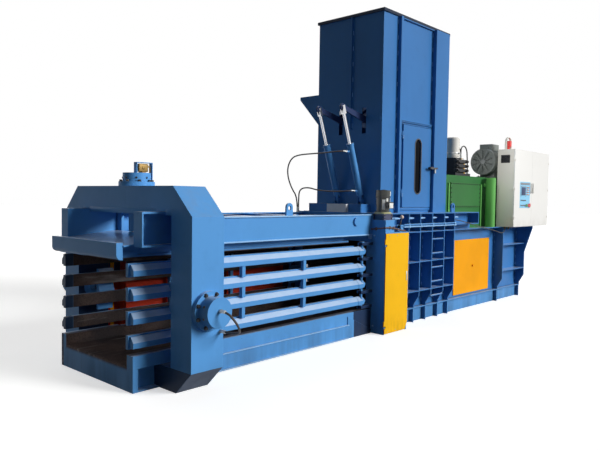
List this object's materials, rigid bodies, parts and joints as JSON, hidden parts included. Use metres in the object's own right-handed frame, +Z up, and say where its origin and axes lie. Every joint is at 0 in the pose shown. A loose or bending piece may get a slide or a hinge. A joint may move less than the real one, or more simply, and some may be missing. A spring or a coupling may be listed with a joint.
{
  "type": "horizontal baling press",
  "caption": "Horizontal channel baling press for recyclables, with a tall hopper, squeeze rails, tension plate, tie station and rear hydraulic power unit.",
  "frame": {"origin": "centre of the squeeze frame's underside, on the floor", "axes": "+X along the bale channel from the outlet to the rear, -Y towards the operator's side with the doors and the control cabinet, +Z up"},
  "size_m": [10.026, 3.979, 4.862],
  "materials": {
    "blue_paint": "semi-gloss machine enamel, slightly worn",
    "orange_paint": "semi-gloss machine enamel",
    "green_paint": "semi-gloss machine enamel",
    "light_green_paint": "semi-gloss machine enamel",
    "beige_paint": "textured enclosure enamel",
    "white_paint": "enclosure enamel",
    "grey_paint": "motor enamel",
    "worn_steel": "bare wear plate with surface rust",
    "dark_steel": "blackened",
    "bright_steel": "hard chrome",
    "zinc_steel": "zinc plated",
    "brass": "dull",
    "hose_rubber": "matt black cover",
    "smoked_window": "dark glazing",
    "red_lens": "translucent lens",
    "green_plastic": "moulded",
    "black_plastic": "moulded"
  },
  "bodies": {
    "machine": {"squeeze_frame": "blue_paint", "discharge_table": "blue_paint", "side_cylinder_near": "blue_paint", "side_cylinder_far": "blue_paint", "top_cylinder": "blue_paint", "cylinder_bolts": "zinc_steel", "hinge_pins": "dark_steel", "upper_frame": "blue_paint", "base_frame": "blue_paint", "press_wall_near": "blue_paint", "press_wall_far": "blue_paint", "press_deck": "blue_paint", "main_cylinder": "dark_steel", "service_cover": "orange_paint", "hopper_shaft": "blue_paint", "junction_box": "beige_paint", "tie_frame": "blue_paint", "tie_gearmotor": "grey_paint", "far_guard": "orange_paint", "oil_tank": "green_paint", "tank_cover": "green_paint", "return_column": "light_green_paint", "pump_motor": "grey_paint", "hydraulic_pump": "dark_steel", "valve_block": "dark_steel", "oil_filter": "beige_paint", "filler_breather": "brass", "cabinet_body": "beige_paint", "cabinet_bracket": "blue_paint", "beacon_lamp": "red_lens", "flap_hoses": "hose_rubber", "power_hoses": "hose_rubber", "control_cable": "hose_rubber"},
    "ram": {"main_ram": "worn_steel", "ram_rod": "bright_steel"},
    "rails_near": {"side_rails_near": "blue_paint"},
    "rails_far": {"side_rails_far": "blue_paint"},
    "squeeze_rod_near": {"side_rod_near": "bright_steel"},
    "squeeze_rod_far": {"side_rod_far": "bright_steel"},
    "top_plate": {"tension_plate": "blue_paint"},
    "tension_rod": {"top_rod": "bright_steel"},
    "flap": {"prepress_flap": "blue_paint"},
    "lift_barrel_near": {"flap_barrel_near": "blue_paint"},
    "lift_barrel_far": {"flap_barrel_far": "blue_paint"},
    "lift_rod_near": {"flap_rod_near": "bright_steel"},
    "lift_rod_far": {"flap_rod_far": "bright_steel"},
    "access_door": {"hopper_door": "blue_paint", "door_window": "smoked_window"},
    "door_latch": {"hopper_door_handle": "black_plastic"},
    "guard_door": {"tie_door": "orange_paint"},
    "twister": {"twister_shaft": "dark_steel"},
    "hand_lever": {"tie_lever": "blue_paint"},
    "needles": {"needle_carriage": "dark_steel"},
    "left_leaf": {"cabinet_door_left": "white_paint", "control_panel": "black_plastic"},
    "right_leaf": {"cabinet_door_right": "white_paint"},
    "fan": {"motor_fan": "black_plastic"},
    "start": {"start_button": "green_plastic"},
    "stop": {"stop_button": "red_lens"},
    "e_stop": {"emergency_stop": "red_lens"}
  },
  "joints": [
    {"name": "ram_stroke", "type": "slide", "parent": "machine", "child": "ram", "axis": [-1, 0, 0], "range_m": [0, 1.955]},
    {"name": "rails_near_squeeze", "type": "hinge", "parent": "machine", "child": "rails_near", "pos_m": [3.292, -0.718, 0.87], "axis": [0, 0, 1], "range_deg": [-1, 0]},
    {"name": "rails_far_squeeze", "type": "hinge", "parent": "machine", "child": "rails_far", "pos_m": [3.292, 0.718, 0.87], "axis": [0, 0, 1], "range_deg": [0, 1]},
    {"name": "squeeze_rod_near_stroke", "type": "slide", "parent": "machine", "child": "squeeze_rod_near", "axis": [0, 1, 0], "range_m": [0, 0.0576]},
    {"name": "squeeze_rod_far_stroke", "type": "slide", "parent": "machine", "child": "squeeze_rod_far", "axis": [0, -1, 0], "range_m": [0, 0.0576]},
    {"name": "tension_plate_swing", "type": "hinge", "parent": "machine", "child": "top_plate", "pos_m": [3.127, 0, 1.66], "axis": [0, 1, 0], "range_deg": [-1, 0]},
    {"name": "tension_rod_stroke", "type": "slide", "parent": "machine", "child": "tension_rod", "axis": [0, 0, -1], "range_m": [0, 0.0547]},
    {"name": "flap_swing", "type": "hinge", "parent": "machine", "child": "flap", "pos_m": [3.901, 0, 3.21], "axis": [0, 1, 0], "range_deg": [-30, 0]},
    {"name": "lift_barrel_near_tilt", "type": "hinge", "parent": "machine", "child": "lift_barrel_near", "pos_m": [3.805, -0.3, 1.966], "axis": [0, 1, 0], "range_deg": [-5.2, 0], "deforming": ["flap_hoses"]},
    {"name": "lift_barrel_far_tilt", "type": "hinge", "parent": "machine", "child": "lift_barrel_far", "pos_m": [3.805, 0.16, 1.966], "axis": [0, 1, 0], "range_deg": [-5.2, 0]},
    {"name": "lift_rod_near_stroke", "type": "slide", "parent": "lift_barrel_near", "child": "lift_rod_near", "axis": [-0.3394, 0, 0.9406], "range_m": [-0.291, 0]},
    {"name": "lift_rod_far_stroke", "type": "slide", "parent": "lift_barrel_far", "child": "lift_rod_far", "axis": [-0.3394, 0, 0.9406], "range_m": [-0.291, 0]},
    {"name": "hopper_door_swing", "type": "hinge", "parent": "machine", "child": "access_door", "pos_m": [4.38, -0.659, 2.515], "axis": [0, 0, 1], "range_deg": [-110, 0]},
    {"name": "door_latch_turn", "type": "hinge", "parent": "access_door", "child": "door_latch", "pos_m": [5.19, -0.7, 2.515], "axis": [0, 1, 0], "range_deg": [0, 90]},
    {"name": "tie_door_swing", "type": "hinge", "parent": "machine", "child": "guard_door", "pos_m": [3.5, -0.983, 0.75], "axis": [0, 0, 1], "range_deg": [-110, 0]},
    {"name": "twister_turn", "type": "hinge", "parent": "machine", "child": "twister", "pos_m": [3.64, -0.83, 0.87], "axis": [0, 0, 1], "continuous": true},
    {"name": "hand_lever_rock", "type": "hinge", "parent": "machine", "child": "hand_lever", "pos_m": [3.96, -0.922, 1.573], "axis": [0, 1, 0], "range_deg": [-25, 25]},
    {"name": "needle_stroke", "type": "slide", "parent": "machine", "child": "needles", "axis": [0, -1, 0], "range_m": [0, 1.45]},
    {"name": "cabinet_left_swing", "type": "hinge", "parent": "machine", "child": "left_leaf", "pos_m": [7.64, -1.078, 2.235], "axis": [0, 0, 1], "range_deg": [-110, 0]},
    {"name": "cabinet_right_swing", "type": "hinge", "parent": "machine", "child": "right_leaf", "pos_m": [9.355, -1.078, 2.235], "axis": [0, 0, 1], "range_deg": [0, 110]},
    {"name": "fan_turn", "type": "hinge", "parent": "machine", "child": "fan", "pos_m": [7.568, -0.46, 2.755], "axis": [1, 0, 0], "continuous": true},
    {"name": "start_press", "type": "slide", "parent": "left_leaf", "child": "start", "axis": [0, 1, 0], "range_m": [0, 0.006], "stiffness_N_per_m": 600, "springref_m": -0.004},
    {"name": "stop_press", "type": "slide", "parent": "left_leaf", "child": "stop", "axis": [0, 1, 0], "range_m": [0, 0.006], "stiffness_N_per_m": 600, "springref_m": -0.004},
    {"name": "emergency_press", "type": "slide", "parent": "left_leaf", "child": "e_stop", "axis": [0, 1, 0], "range_m": [0, 0.007], "stiffness_N_per_m": 900, "springref_m": -0.004}
  ],
  "couplings": [
    {"joint": "rails_far_squeeze", "follows": "rails_near_squeeze", "ratio": -1},
    {"joint": "squeeze_rod_near_stroke", "follows": "rails_near_squeeze", "m_per_rad": -3.292},
    {"joint": "squeeze_rod_far_stroke", "follows": "rails_near_squeeze", "m_per_rad": -3.292},
    {"joint": "tension_rod_stroke", "follows": "tension_plate_swing", "m_per_rad": -3.127},
    {"joint": "lift_barrel_near_tilt", "follows": "flap_swing", "ratio": 0.17},
    {"joint": "lift_barrel_far_tilt", "follows": "flap_swing", "ratio": 0.17},
    {"joint": "lift_rod_near_stroke", "follows": "flap_swing", "m_per_rad": 0.555},
    {"joint": "lift_rod_far_stroke", "follows": "flap_swing", "m_per_rad": 0.555}
  ]
}
